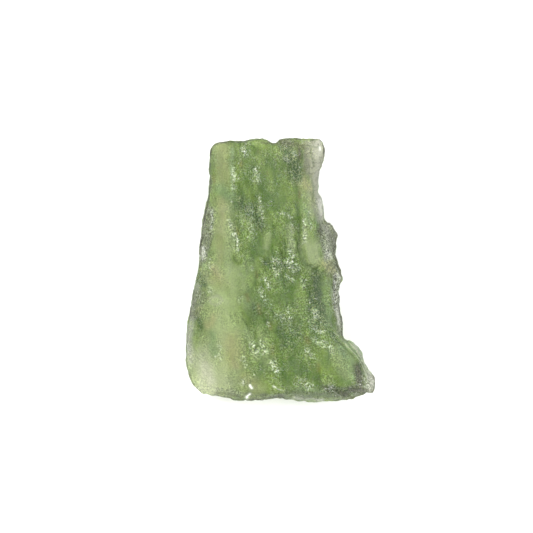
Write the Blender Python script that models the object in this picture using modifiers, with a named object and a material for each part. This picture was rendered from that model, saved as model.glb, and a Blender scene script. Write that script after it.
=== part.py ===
"""Raw moldavite: one flat, fan-shaped splinter of green natural glass, lying on its back.

Run with: blender --background --python part.py
Metres, +Z up. The stone lies on the XY plane with its long side along Y, and the origin is
under the middle of its bounding box. Sizes below are in millimetres until the last step.
"""

import bpy
import bmesh
import numpy as np
from mathutils import Vector, noise

MM = 0.001

# Driving dimensions, in millimetres
LENGTH = 26.3
WIDTH = 19.0
SLAB_HALF = 1.0
SLAB_ROUNDING = 0.4
FINE_VOXEL = 0.18
SURFACE_TRIANGLES = 9400

# The stone's outline seen from above, clockwise, each side in millimetres from the middle
TOP_EDGE = [
    (-7.0, 12.15), (-6.65, 12.55), (-5.6, 12.8), (-4.0, 12.85), (-3.2, 12.95), (-1.9, 13.1),
    (-1.5, 13.0), (-1.2, 12.8), (-0.5, 12.7), (-0.2, 13.0), (0.3, 13.1), (2.4, 13.15),
    (3.7, 13.05),
]
RIGHT_EDGE = [
    (4.15, 12.8), (4.35, 12.1), (4.35, 11.3), (4.2, 10.7), (3.9, 9.9), (3.7, 9.2),
    (3.65, 8.3), (3.75, 7.55), (4.1, 7.2), (4.25, 6.5), (4.3, 5.6), (4.4, 5.0),
    (4.95, 4.7), (5.3, 4.1), (5.65, 3.8), (5.65, 3.1), (5.45, 2.8), (5.6, 2.45),
    (5.45, 2.1), (5.5, 1.2), (5.8, 0.4), (6.0, -0.3), (6.15, -0.95), (5.9, -1.45),
    (5.8, -2.2), (5.85, -3.7), (6.05, -4.7), (6.2, -5.6), (6.2, -6.6),
]
FOOT_EDGE = [
    (6.35, -6.9), (6.75, -6.95), (7.2, -7.25), (7.95, -8.0), (8.15, -8.6), (8.25, -9.15),
    (8.95, -10.2), (9.35, -10.65), (9.5, -11.2), (9.4, -11.8), (9.1, -12.3), (8.6, -12.3),
]
BOTTOM_EDGE = [
    (8.1, -12.45), (7.0, -12.9), (5.7, -13.05), (3.7, -13.15), (1.2, -13.05), (0.3, -12.95),
    (-0.1, -12.8), (-1.2, -12.9), (-2.6, -13.0), (-4.0, -13.0), (-4.7, -12.95),
    (-5.4, -12.75), (-6.3, -12.6), (-7.9, -12.3),
]
LEFT_EDGE = [
    (-8.35, -12.0), (-8.8, -11.4), (-9.15, -10.6), (-9.4, -9.8), (-9.5, -8.8),
    (-9.5, -7.2), (-9.4, -6.0), (-9.1, -4.1), (-8.9, -3.5), (-8.85, -2.5), (-8.7, -1.8),
    (-8.4, -0.6), (-8.2, 0.2), (-8.15, 1.0), (-8.25, 2.0), (-8.1, 3.2), (-7.85, 5.0),
    (-7.6, 6.2), (-7.35, 6.9), (-7.2, 7.7), (-7.1, 9.4), (-7.2, 9.9), (-7.1, 10.4),
    (-7.1, 11.4),
]
OUTLINE = TOP_EDGE + RIGHT_EDGE + FOOT_EDGE + BOTTOM_EDGE + LEFT_EDGE

# The crest, where the broad upper face breaks down to the thin rims, clockwise
CREST = [
    (-6.75, 11.7), (-6.2, 12.3), (-5.2, 12.5), (-3.5, 12.6), (-1.9, 12.6), (-0.7, 12.4),
    (0.9, 12.6), (2.0, 12.5), (2.35, 11.6), (2.4, 10.4), (2.2, 9.2), (2.6, 7.8),
    (3.1, 6.4), (3.4, 5.0), (3.6, 3.5), (3.9, 2.0), (4.2, 0.5), (4.5, -0.9), (4.9, -2.2),
    (4.95, -3.6), (5.0, -5.0), (5.35, -6.1), (5.95, -6.9), (6.6, -7.6), (7.15, -8.5),
    (7.6, -9.5), (7.95, -10.5), (8.1, -11.3), (7.3, -11.9), (6.1, -12.3), (4.2, -12.4),
    (1.9, -12.45), (-0.1, -12.35), (-2.1, -12.5), (-4.6, -12.4), (-6.6, -12.0),
    (-7.7, -11.6), (-8.3, -10.8), (-8.65, -9.6), (-8.7, -8.4), (-8.6, -7.0),
    (-8.4, -5.0), (-8.1, -3.8), (-7.8, -2.7), (-7.8, -1.6), (-7.4, -0.4), (-7.1, 0.6),
    (-6.75, 1.5), (-6.6, 2.7), (-6.5, 4.0), (-6.5, 6.0), (-6.75, 6.9), (-6.9, 8.0),
    (-6.85, 10.0),
]

# Height of the broad upper face at chosen places: (x, y, height)
FACE_HEIGHTS = [
    (-6.3, 11.5, 3.9), (-5.2, 8.5, 4.3), (-3.0, 11.0, 4.5), (0.0, 11.5, 4.3),
    (1.8, 11.5, 3.5), (2.0, 8.5, 3.6), (-1.0, 8.0, 4.8), (-5.8, 4.5, 4.6),
    (-2.5, 4.0, 5.1), (0.8, 4.5, 5.1), (3.0, 4.0, 4.0), (-6.6, 0.0, 4.5),
    (-3.5, 0.0, 5.2), (0.5, 0.0, 5.5), (3.6, -0.5, 4.4), (-7.4, -4.5, 4.0),
    (-4.0, -4.5, 5.2), (0.5, -4.5, 5.8), (4.0, -4.5, 4.9), (-7.6, -9.0, 3.0),
    (-4.0, -9.0, 4.6), (0.0, -9.0, 5.6), (4.0, -8.5, 5.5), (6.6, -9.6, 4.3),
    (-7.0, -11.3, 2.8), (-3.0, -12.0, 3.9), (1.5, -12.0, 4.4), (6.5, -11.8, 3.9),
]
FACE_SPREAD = 2.6

# The rim round the outline: (x, y, height of its underside, its thickness)
RIM_PLACES = [
    (-7.0, 12.3, 1.5, 1.7), (-2.0, 13.0, 1.9, 1.5), (2.5, 13.1, 1.7, 0.9),
    (4.3, 11.5, 1.5, 0.6), (3.7, 8.5, 1.2, 0.6), (4.3, 5.8, 1.0, 0.7), (5.6, 3.5, 0.6, 1.3),
    (5.6, 1.0, 0.5, 1.3), (6.1, -1.0, 0.9, 1.0), (5.9, -4.0, 1.5, 0.7),
    (6.2, -6.7, 1.9, 0.5), (8.0, -8.3, 1.7, 0.5), (9.4, -11.2, 1.1, 0.7),
    (6.0, -13.0, 0.7, 1.1), (2.0, -13.1, 0.6, 0.9), (-4.0, -13.0, 1.1, 1.2),
    (-8.0, -12.2, 1.4, 0.7), (-9.5, -8.5, 1.5, 0.7), (-9.2, -4.5, 1.0, 1.2),
    (-8.3, 0.0, 0.7, 1.7), (-8.0, 4.0, 0.8, 1.5), (-7.2, 8.5, 1.1, 2.0),
]
RIM_SPREAD = 1.9
RIM_CLIMB_POWER = 0.85
UNDERSIDE_BEVEL = 3.2

# The broad face eases down towards the crest, so that the crest is not a sharp corner
SHOULDER_DROP = 0.16
SHOULDER_REACH = 1.3

# Height of the underside at chosen places: (x, y, height). Below zero it is worn off flat,
# which leaves the small spot that the stone rests on
UNDERSIDE_HEIGHTS = [
    (-4.0, 10.0, 0.75), (0.5, 10.5, 0.95), (-5.6, 5.5, 0.55), (-1.8, 5.5, 0.10),
    (2.2, 5.5, 0.60), (-6.4, 0.0, 0.45), (-2.4, 1.0, -0.22), (1.0, 1.0, -0.10),
    (4.0, 0.5, 0.55), (-6.8, -6.0, 0.45), (-3.2, -4.5, -0.24), (1.2, -4.5, -0.24),
    (4.2, -5.0, 0.40), (-5.5, -10.5, 0.60), (-1.2, -9.0, 0.14), (3.0, -9.0, 0.18),
    (2.0, -12.0, 0.55), (7.0, -10.8, 0.75),
]
UNDERSIDE_SPREAD = 2.2
FLAT_TOLERANCE = 0.03

# Creases and furrows in the upper face: (points, depth, half width)
CREASES = [
    ([(1.2, 7.0), (1.7, 6.0), (1.75, 4.2), (1.9, 2.8), (2.1, 1.4), (2.6, 0.5), (3.4, -0.1)],
     0.32, 0.26),
    ([(3.0, -1.8), (3.05, -2.6), (2.95, -3.7)], 0.28, 0.28),
    ([(-4.0, -4.5), (-3.7, -5.1), (-3.5, -5.7)], 0.20, 0.26),
    ([(-4.9, 12.2), (-4.8, 9.6), (-4.7, 7.0), (-4.6, 4.6), (-4.55, 2.4), (-4.2, 1.0)],
     0.26, 0.50),
    ([(-0.4, 4.2), (-0.35, 2.0), (-0.1, 0.2)], 0.30, 0.32),
    ([(-1.9, 0.0), (-2.1, -1.8), (-1.5, -3.6)], 0.26, 0.40),
    ([(-5.0, -4.4), (-4.2, -6.0), (-3.6, -7.4)], 0.20, 0.34),
    ([(-1.2, -5.4), (-0.9, -7.6), (-0.2, -10.2)], 0.26, 0.50),
    ([(2.4, -6.0), (2.9, -8.2), (3.6, -10.6)], 0.22, 0.50),
    ([(-3.0, 8.0), (-3.1, 5.4), (-2.7, 3.4)], 0.22, 0.42),
    ([(0.9, 11.6), (1.1, 9.4), (0.8, 7.6)], 0.24, 0.40),
]

# Raised forms on the upper face: (x, y, radius across, radius along, height)
SWELLINGS = [
    (2.75, 2.6, 0.95, 3.4, 0.42),
    (3.15, 0.9, 0.95, 1.0, 0.26),
    (-6.6, -3.1, 0.75, 0.75, 0.42),
    (-5.7, 10.0, 0.85, 2.6, 0.28),
    (-6.0, 3.4, 0.75, 2.6, 0.26),
    (-5.6, -1.2, 1.6, 1.1, 0.24),
    (-1.4, 3.0, 0.70, 2.6, 0.22),
    (-2.6, 6.2, 0.80, 1.7, -0.28),
    (1.6, 10.2, 0.80, 1.3, -0.34),
    (0.4, -1.0, 1.7, 0.8, -0.32),
    (4.1, -2.8, 0.75, 2.0, -0.34),
    (-0.9, -2.9, 0.75, 0.9, -0.26),
    (1.5, -8.0, 1.0, 2.2, 0.22),
    (5.0, -8.2, 1.0, 1.8, 0.24),
    (-4.2, -9.0, 1.2, 2.0, 0.20),
]

# Ledges where a flake has left the surface, lower on the right of the line: (points, drop)
LEDGES = [
    ([(4.9, -5.3), (5.7, -6.5), (6.5, -7.7), (7.2, -9.0), (7.9, -10.6), (8.3, -12.0)], 0.34),
    ([(3.3, 6.6), (3.55, 5.0), (3.75, 3.6), (4.2, 1.6), (4.5, 0.2), (4.95, -1.6)], 0.32),
]
LEDGE_WIDTH = 0.35
LEDGE_REACH = 1.1

# Corroded surface: long furrows that fan out with the stone, and rounded pits
FURROW_WIDTH = 1.25
FURROW_LENGTH = 5.2
FURROW_DEPTH = 0.24
FINER_FURROW_SCALE = 2.1
FINER_FURROW_SHARE = 0.5
LUMP_SIZE = 2.6
LUMP_HEIGHT = 0.20
LUMP_SHIFT = (7.3, 1.9, 4.2)
PIT_SIZE = 1.15
PIT_STRETCH = 1.7
PIT_RADIUS_IN_CELL = 0.62
PIT_DEPTH = 0.26
PIT_CLUSTER_CELLS = 3.0
PIT_CLUSTER_SHIFT = (2.0, 8.0, 5.0)
PIT_CLUSTER_MEAN = 0.45
PIT_CLUSTER_CONTRAST = 1.6

# Placed relief is kept to faces that look up, and thin rims weather less than the thick middle
RELIEF_FROM_NORMAL_Z = 0.15
RELIEF_FULL_NORMAL_Z = 0.65
RIM_ROUGHNESS_SHARE = 0.25
THIN_RIM = 0.3
THICK_MIDDLE = 2.5

# Near the outline weathering moves the surface up and down but hardly sideways
EDGE_WANDER = 0.15
EDGE_REACH = 1.0

# The stone's halves widen from the top edge to the foot, and its middle line drifts to the right
FAN_TOP_HALF_WIDTH = 5.7
FAN_BOTTOM_HALF_WIDTH = 9.0
FAN_MIDDLE_TOP = -1.5
FAN_MIDDLE_BOTTOM = 0.0

GLASS_GREEN = (0.30, 0.42, 0.13, 1.0)


def clear_scene():
    for old in list(bpy.data.objects):
        bpy.data.objects.remove(old, do_unlink=True)


def smooth_step(t):
    t = np.clip(t, 0.0, 1.0)
    return t * t * (3.0 - 2.0 * t)


def line_distance(points, line, closed=False):
    """Distance of each point to a line through its corners, and the side it lies on."""
    corners = np.array(line + line[:1] if closed else line, float)
    start, step = corners[:-1], np.diff(corners, axis=0)
    offset = points[:, None, :] - start[None]
    along = (offset * step).sum(2) / (step**2).sum(1)
    gap = offset - np.clip(along, 0.0, 1.0)[..., None] * step
    distances = np.hypot(gap[..., 0], gap[..., 1])
    nearest = distances.argmin(1)
    rows = np.arange(len(points))
    cross = step[nearest, 0] * gap[rows, nearest, 1] - step[nearest, 1] * gap[rows, nearest, 0]
    return distances[rows, nearest], np.sign(cross)


def inside_loop(points, loop):
    """True for each point inside a closed loop."""
    corners = np.array(loop, float)
    others = np.roll(corners, -1, axis=0)
    x, y = points[:, :1], points[:, 1:]
    crosses = (corners[:, 1] > y) != (others[:, 1] > y)
    rise = np.where(others[:, 1] == corners[:, 1], 1e-9, others[:, 1] - corners[:, 1])
    meets = corners[:, 0] + (y - corners[:, 1]) / rise * (others[:, 0] - corners[:, 0])
    return (crosses & (x < meets)).sum(1) % 2 == 1


def blend_places(points, places, spread):
    """Values given at a few places, blended smoothly over all points."""
    places = np.array(places, float)
    gap = points[:, None, :] - places[None, :, :2]
    squares = (gap**2).sum(2)
    weight = np.exp(-(squares - squares.min(1, keepdims=True)) / (2.0 * spread**2))
    weight /= weight.sum(1, keepdims=True)
    return weight @ places[:, 2:]


def make_slab():
    """The outline as a rounded slab, remeshed evenly so that it can be shaped."""
    curve = bpy.data.curves.new("outline", "CURVE")
    curve.dimensions = "2D"
    curve.fill_mode = "BOTH"
    curve.resolution_u = 4
    curve.extrude = (SLAB_HALF - SLAB_ROUNDING) * MM
    curve.bevel_depth = SLAB_ROUNDING * MM
    curve.bevel_resolution = 3
    curve.offset = -SLAB_ROUNDING * MM
    spline = curve.splines.new("BEZIER")
    spline.bezier_points.add(len(OUTLINE) - 1)
    for point, (x, y) in zip(spline.bezier_points, OUTLINE):
        point.co = (x * MM, y * MM, 0.0)
        point.handle_left_type = point.handle_right_type = "AUTO"
    spline.use_cyclic_u = True
    outline = bpy.data.objects.new("outline", curve)
    bpy.context.scene.collection.objects.link(outline)

    slab = realise(outline, "moldavite")
    remesh = slab.modifiers.new("even faces", "REMESH")
    remesh.mode = "VOXEL"
    remesh.voxel_size = FINE_VOXEL * MM
    return realise(slab, "moldavite")


def realise(source, name):
    """A new mesh object with the source's modifiers applied. The source is removed."""
    bpy.context.view_layer.update()
    graph = bpy.context.evaluated_depsgraph_get()
    mesh = bpy.data.meshes.new_from_object(source.evaluated_get(graph))
    work = bmesh.new()
    work.from_mesh(mesh)
    bmesh.ops.remove_doubles(work, verts=work.verts, dist=1e-6)
    work.to_mesh(mesh)
    work.free()
    bpy.data.objects.remove(source, do_unlink=True)
    made = bpy.data.objects.new(name, mesh)
    bpy.context.scene.collection.objects.link(made)
    return made


def read_points(mesh):
    points = np.empty(len(mesh.vertices) * 3, np.float32)
    mesh.vertices.foreach_get("co", points)
    return points.reshape(-1, 3).astype(float) / MM


def write_points(mesh, points):
    mesh.vertices.foreach_set("co", (points * MM).astype(np.float32).ravel())
    mesh.update()


def read_normals(mesh):
    normals = np.empty(len(mesh.vertices) * 3, np.float32)
    mesh.vertex_normals.foreach_get("vector", normals)
    return normals.reshape(-1, 3).astype(float)


def upper_and_lower(flat):
    """Heights of the upper and the lower surface over points of the plan."""
    to_edge, _ = line_distance(flat, OUTLINE, closed=True)
    to_crest, _ = line_distance(flat, CREST, closed=True)
    on_face = inside_loop(flat, CREST)
    face = blend_places(flat, FACE_HEIGHTS, FACE_SPREAD)[:, 0]
    rim = blend_places(flat, RIM_PLACES, RIM_SPREAD)
    rim_top = rim[:, 0] + rim[:, 1]
    climb = np.where(on_face, 1.0, to_edge / (to_edge + to_crest + 1e-6))
    shoulder = 1.0 - SHOULDER_DROP * np.exp(-to_crest / SHOULDER_REACH)
    upper = rim_top + (face * shoulder - rim_top) * climb**RIM_CLIMB_POWER
    under = blend_places(flat, UNDERSIDE_HEIGHTS, UNDERSIDE_SPREAD)[:, 0]
    inward = smooth_step(to_edge / UNDERSIDE_BEVEL)
    lower = rim[:, 0] * (1.0 - inward) + under * inward
    return upper, lower


def placed_relief(flat):
    """Creases, swellings and ledges of the upper face, as a height to add."""
    relief = np.zeros(len(flat))
    for line, depth, half_width in CREASES:
        gap, _ = line_distance(flat, line)
        relief -= depth * np.exp(-((gap / half_width) ** 2))
    for x, y, across, along, height in SWELLINGS:
        reach = ((flat[:, 0] - x) / across) ** 2 + ((flat[:, 1] - y) / along) ** 2
        relief += height * np.exp(-reach)
    for line, drop in LEDGES:
        gap, side = line_distance(flat, line)
        step = smooth_step(0.5 + side * gap / (2.0 * LEDGE_WIDTH))
        relief -= drop * step * np.exp(-((gap / LEDGE_REACH) ** 2))
    return relief


def fan(point):
    """Plan coordinates that follow the flow of the glass, which spreads towards the foot."""
    share = (LENGTH / 2 - point[1]) / LENGTH
    half = FAN_TOP_HALF_WIDTH + (FAN_BOTTOM_HALF_WIDTH - FAN_TOP_HALF_WIDTH) * share
    middle = FAN_MIDDLE_TOP + (FAN_MIDDLE_BOTTOM - FAN_MIDDLE_TOP) * share
    return (point[0] - middle) / half * FAN_TOP_HALF_WIDTH


def corrosion(point):
    """Depth that weathering has taken from, or left on, the surface at one point."""
    x, y, z = point
    across = fan(point)
    furrow_at = Vector((across / FURROW_WIDTH, y / FURROW_LENGTH, z / (2.0 * FURROW_WIDTH)))
    finer = noise.noise(furrow_at * FINER_FURROW_SCALE)
    furrow = noise.noise(furrow_at) + FINER_FURROW_SHARE * finer
    lump = noise.noise(Vector((x, y, z)) / LUMP_SIZE + Vector(LUMP_SHIFT))
    cell = Vector((across / PIT_SIZE, y / (PIT_STRETCH * PIT_SIZE), z / PIT_SIZE))
    nearest = noise.voronoi(cell)[0][0]
    pit = max(0.0, 1.0 - (nearest / PIT_RADIUS_IN_CELL) ** 2)
    cluster = noise.noise(cell / PIT_CLUSTER_CELLS + Vector(PIT_CLUSTER_SHIFT))
    pit *= min(1.0, max(0.0, PIT_CLUSTER_MEAN + PIT_CLUSTER_CONTRAST * cluster))
    return FURROW_DEPTH * furrow + LUMP_HEIGHT * lump - PIT_DEPTH * pit


def shape_stone(stone):
    """Moves the slab's points to the stone's form, then roughens the surface."""
    mesh = stone.data
    points = read_points(mesh)
    upper, lower = upper_and_lower(points[:, :2])
    level = np.clip(points[:, 2] / SLAB_HALF * 0.5 + 0.5, 0.0, 1.0)
    points[:, 2] = lower + level * (upper - lower)
    write_points(mesh, points)

    normals = read_normals(mesh)
    facing_up = smooth_step(
        (normals[:, 2] - RELIEF_FROM_NORMAL_Z) / (RELIEF_FULL_NORMAL_Z - RELIEF_FROM_NORMAL_Z)
    )
    points[:, 2] += facing_up * placed_relief(points[:, :2])
    rough = np.array([corrosion(point) for point in points])
    thick = smooth_step((upper - lower - THIN_RIM) / (THICK_MIDDLE - THIN_RIM))
    strength = RIM_ROUGHNESS_SHARE + (1.0 - RIM_ROUGHNESS_SHARE) * thick
    to_edge, _ = line_distance(points[:, :2], OUTLINE, closed=True)
    sideways = EDGE_WANDER + (1.0 - EDGE_WANDER) * smooth_step(to_edge / EDGE_REACH)
    push = normals * (rough * strength)[:, None]
    push[:, :2] *= sideways[:, None]
    points += push
    points[:, 2] = np.maximum(points[:, 2], 0.0)
    write_points(mesh, points)


def settle_stone(stone):
    """Thins the mesh to its final faces, grinds the resting spot flat and centres the plan."""
    faces = sum(len(face.vertices) - 2 for face in stone.data.polygons)
    decimate = stone.modifiers.new("fewer faces", "DECIMATE")
    decimate.ratio = SURFACE_TRIANGLES / faces
    stone = realise(stone, "moldavite")
    points = read_points(stone.data)
    low, high = points.min(0), points.max(0)
    points[:, 2] -= low[2]
    points[:, :2] = (points[:, :2] - (low[:2] + high[:2]) / 2) * (
        np.array((WIDTH, LENGTH)) / (high[:2] - low[:2])
    )
    points[points[:, 2] < FLAT_TOLERANCE, 2] = 0.0
    write_points(stone.data, points)
    work = bmesh.new()
    work.from_mesh(stone.data)
    bmesh.ops.triangulate(work, faces=work.faces)
    bmesh.ops.recalc_face_normals(work, faces=work.faces)
    work.to_mesh(stone.data)
    work.free()
    return stone


def green_glass():
    material = bpy.data.materials.new("moldavite glass")
    material.use_nodes = True
    shader = material.node_tree.nodes["Principled BSDF"]
    shader.inputs["Base Color"].default_value = GLASS_GREEN
    shader.inputs["Roughness"].default_value = 0.35
    shader.inputs["Metallic"].default_value = 0.0
    shader.inputs["IOR"].default_value = 1.49
    shader.inputs["Transmission Weight"].default_value = 0.8
    return material


def main():
    clear_scene()
    stone = make_slab()
    shape_stone(stone)
    stone = settle_stone(stone)
    stone.data.shade_smooth()
    stone.data.materials.append(green_glass())
    home = bpy.data.collections.new("moldavite")
    bpy.context.scene.collection.children.link(home)
    bpy.context.scene.collection.objects.unlink(stone)
    home.objects.link(stone)


main()
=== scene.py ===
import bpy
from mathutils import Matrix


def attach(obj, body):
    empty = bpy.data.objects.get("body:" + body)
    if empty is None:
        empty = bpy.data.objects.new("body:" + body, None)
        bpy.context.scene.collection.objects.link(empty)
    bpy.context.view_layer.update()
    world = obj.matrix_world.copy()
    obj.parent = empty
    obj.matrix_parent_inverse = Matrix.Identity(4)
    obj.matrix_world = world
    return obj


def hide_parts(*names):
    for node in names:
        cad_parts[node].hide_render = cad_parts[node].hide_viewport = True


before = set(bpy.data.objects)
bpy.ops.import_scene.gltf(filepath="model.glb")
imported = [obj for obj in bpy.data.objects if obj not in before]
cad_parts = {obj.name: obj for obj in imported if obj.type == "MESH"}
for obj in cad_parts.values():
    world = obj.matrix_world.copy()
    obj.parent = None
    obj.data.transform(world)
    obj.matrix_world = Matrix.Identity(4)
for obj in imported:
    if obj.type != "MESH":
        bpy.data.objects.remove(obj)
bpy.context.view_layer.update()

from types import SimpleNamespace

import bmesh
import bpy
import numpy as np
from mathutils import Vector, kdtree, noise

MM = 0.001

# Sizes and places on the stone are in millimetres, from the middle of its outline, +Y to its
# narrow end, as in the solid
LENGTH = 26.3
FINE_VOXEL = 0.112
WELD = 0.001
SMOOTHING = 0.5
SMOOTHING_PASSES = 5

# The rim is where the surface turns down. It grows a little, and jags break it
RIM_SLOPE = 0.2
RIM_REACH = 0.5
RIM_GROWTH = 0.06
RIM_GROWTH_REACH = 0.3
RIM_JAGS = 0.07
RIM_JAG_SIZE = 0.5
# Painted shade along the outline: its strength, its swing and least share, and the size of its
# patches
RIM_DARK = 0.85
RIM_DARK_SWING = 0.9
RIM_DARK_LEAST = 0.4
RIM_PATCH_SIZE = 1.2

# Fine relief over the whole stone: sizes across the flow, along it and in depth, and heights
WRINKLE_SIZE = (0.62, 2.6, 0.9)
WRINKLE_HEIGHT = 0.07
FOLD_SIZE = (0.85, 3.4, 1.2)
FOLD_SHARPNESS = 3.0
FOLD_DEPTH = 0.10
PIT_SIZE = (0.55, 0.95, 0.55)
PIT_DEPTH = 0.09
PIT_REACH = 0.75
DIMPLE_SIZE = 0.30
DIMPLE_DEPTH = 0.02
ROUGH_DIMPLE_DEPTH = 0.06
CALM_RELIEF = 0.85

# Noise moves the borders of the colours, most on steep faces, and slides the colours on the walls
BROAD_SWAY = 0.26
FINE_SWAY = 0.16
CRISP_SWAY = 0.3
STEEP_SWAY = 0.9
SIDE_SLIDE = 1.8
SIDE_SLIDE_SIZE = 1.5
SIDE_FADE = 0.7

# How far a face looks up, as the upright part of its normal: (start, span)
LOOKS_UP = (0.05, 0.4)
OFF_THE_WALL = (-0.15, 0.45)
NOT_STEEP = (0.0, 0.6)
ABOVE_THE_BACK = (-0.25, 0.4)
LOOKS_DOWN = (-0.1, 0.5)

# The soft borders of the loops, and how many half widths a line's cone spans
CLEAR_BORDER = 0.5
ROUGH_BORDER = 0.4
CONE_SPAN = 4.0

# The flow of the glass spreads from the narrow end to the foot
FAN_TOP_HALF_WIDTH = 5.7
FAN_BOTTOM_HALF_WIDTH = 9.0
FAN_MIDDLE_TOP = -1.5
FAN_MIDDLE_BOTTOM = 0.0

# Creases in the broad face, carved as grooves and darkened with painted shade: (points, depth,
# half width)
CREASES = [
    ([(1.4, 6.6), (1.7, 6.1), (1.75, 4.7), (1.8, 3.8), (1.8, 2.6), (1.88, 1.5), (2.1, 0.95),
      (2.5, 0.5), (3.05, 0.25), (3.5, -0.1)], 0.06, 0.075),
    ([(3.0, -2.3), (3.05, -3.0), (3.0, -3.8)], 0.10, 0.08),
    ([(-3.95, -4.8), (-3.7, -5.2), (-3.4, -5.7)], 0.08, 0.06),
    ([(-5.1, -4.5), (-4.9, -4.9)], 0.06, 0.05),
    ([(0.35, 3.1), (0.3, 2.4), (0.45, 1.6)], 0.07, 0.05),
    ([(-4.7, 1.5), (-4.4, 0.9)], 0.08, 0.06),
    ([(-2.4, -0.1), (-2.35, -0.9)], 0.08, 0.05),
    ([(2.5, 0.75), (2.75, 0.5), (3.1, 0.45), (3.2, 0.15), (3.6, 0.1), (3.9, 0.4)], 0.06, 0.045),
    ([(4.9, -6.1), (5.6, -6.8), (6.2, -7.4), (6.8, -8.1), (7.4, -8.75), (7.8, -9.5),
      (8.2, -10.3)], 0.08, 0.07),
    ([(7.1, -7.7), (7.9, -8.8), (8.5, -9.8), (8.8, -10.6)], 0.06, 0.05),
    ([(4.6, -11.75), (5.4, -12.3), (5.9, -12.8)], 0.06, 0.10),
    ([(-2.0, 0.6), (-1.2, 0.9), (-0.3, 0.8), (0.3, 0.4), (1.4, 0.5)], 0.06, 0.05),
    ([(0.3, 0.6), (0.5, -0.4), (0.4, -1.2)], 0.06, 0.05),
    ([(2.4, -0.9), (2.6, -2.0)], 0.06, 0.05),
    ([(-2.1, -0.3), (-1.9, -1.4), (-2.2, -2.4)], 0.06, 0.05),
    ([(2.1, 12.0), (2.2, 11.2), (2.0, 10.4)], 0.05, 0.07),
    ([(2.6, 12.6), (3.4, 12.3), (3.9, 12.4)], 0.04, 0.05),
    ([(2.5, 11.4), (3.2, 11.2), (3.3, 10.4)], 0.04, 0.05),
    ([(3.0, 12.2), (3.1, 11.3)], 0.04, 0.05),
    ([(3.0, 9.4), (3.3, 8.2), (3.2, 6.9)], 0.04, 0.045),
]

# Fine raised lines where the thin foot splits into ledges: (points, height, half width)
LEDGE_LINES = [
    ([(6.4, -7.3), (7.0, -8.0), (7.6, -8.65), (8.0, -9.45), (8.4, -10.2)], 0.08, 0.05),
    ([(5.35, -6.3), (5.9, -6.65), (6.35, -7.0)], 0.06, 0.05),
    ([(6.9, -7.2), (7.7, -8.3), (8.3, -9.4), (8.7, -10.3)], 0.06, 0.04),
    ([(5.2, -12.15), (5.7, -12.5), (6.3, -12.95)], 0.06, 0.045),
    ([(0.2, -12.65), (1.9, -12.85), (3.7, -12.95), (5.8, -12.95)], 0.06, 0.10),
    ([(-0.9, -11.6), (-0.4, -11.9), (0.3, -12.05)], 0.05, 0.04),
]

# Thin, nearly clear rims and rough grey zones: (loop, strength)
CLEAR_LOOPS = [
    ([(2.35, 12.9), (4.1, 13.2), (4.6, 11.9), (4.2, 10.1), (3.9, 8.8), (4.0, 7.6), (4.5, 6.7),
      (4.5, 5.0), (3.8, 4.8), (3.5, 5.8), (3.3, 7.4), (3.1, 8.8), (2.6, 9.6), (2.3, 10.4),
      (2.3, 11.6)], 1.0),
]
ROUGH_LOOPS = [
    ([(3.9, 4.9), (5.1, 4.9), (5.9, 3.7), (5.7, 2.1), (6.0, 0.6), (6.3, -0.7), (6.1, -1.9),
      (6.1, -3.3), (6.4, -4.6), (6.4, -6.9), (5.9, -5.8), (5.5, -4.4), (5.3, -2.6),
      (5.2, -1.0), (4.7, 0.4), (4.3, 1.6), (4.0, 2.8), (3.8, 3.8)], 1.0),
    ([(-6.75, 6.3), (-7.6, 6.4), (-8.2, 4.2), (-8.4, 2.1), (-8.2, 0.4), (-7.5, 0.9),
      (-7.0, 2.6), (-6.75, 4.6)], 0.85),
    ([(-8.3, -1.9), (-8.9, -2.9), (-9.3, -4.9), (-8.5, -4.9), (-7.8, -3.8), (-7.4, -3.0),
      (-7.5, -2.3)], 0.6),
    ([(8.7, -10.4), (9.7, -10.8), (9.7, -12.3), (8.6, -12.4), (8.5, -11.4)], 0.8),
    ([(0.4, -12.4), (4.4, -12.2), (4.8, -12.9), (0.4, -13.1)], 0.5),
    ([(-6.6, -12.1), (-4.8, -12.5), (-2.5, -13.0), (0.6, -12.9), (0.6, -12.3), (-2.5, -12.5),
      (-4.8, -12.0), (-6.4, -11.8)], 0.6),
    ([(4.2, -11.5), (6.4, -11.9), (8.0, -11.3), (8.6, -12.4), (7.0, -12.9), (4.6, -12.8)], 0.7),
]

# Colour flows on the face, as brush strokes: (points, half width, strength)
TAN_STROKES = [
    ([(-5.9, 12.4), (-5.7, 10.0), (-5.8, 9.0)], 0.75, 0.55),
    ([(-6.0, 7.0), (-5.8, 5.2)], 0.55, 0.7),
    ([(4.5, 0.7), (5.5, -0.4)], 0.50, 1.0),
    ([(-6.0, 5.4), (-6.1, 0.9)], 0.50, 0.5),
    ([(-6.9, -0.1), (-6.3, -0.9)], 0.75, 1.0),
    ([(-6.8, -4.6), (-7.2, -5.6)], 0.45, 0.9),
    ([(-4.9, -7.0), (-4.7, -9.2)], 0.85, 1.0),
    ([(2.0, 9.2), (2.8, 8.2)], 0.60, 0.9),
    ([(3.0, 7.8), (3.3, 5.6)], 0.40, 0.6),
    ([(-3.6, -10.9), (-2.4, -11.8)], 0.80, 0.6),
    ([(5.0, 0.9), (5.4, -0.4)], 0.30, 0.8),
    ([(-8.2, -3.6), (-8.4, -4.4)], 0.40, 0.5),
]
PALE_STROKES = [
    ([(-7.4, -9.6), (-7.15, -11.0)], 0.85, 1.0),
    ([(-7.8, -8.9), (-7.2, -11.3)], 1.40, 0.65),
    ([(-6.3, -9.8), (-5.6, -11.4)], 0.90, 0.3),
    ([(-6.2, -4.8), (-5.8, -7.6)], 1.00, 0.1),
    ([(-6.9, -2.7), (-6.3, -2.5), (-5.9, -3.0), (-6.2, -3.6), (-6.8, -3.5), (-7.1, -3.1),
      (-6.9, -2.7)], 0.18, 0.5),
]
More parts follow.
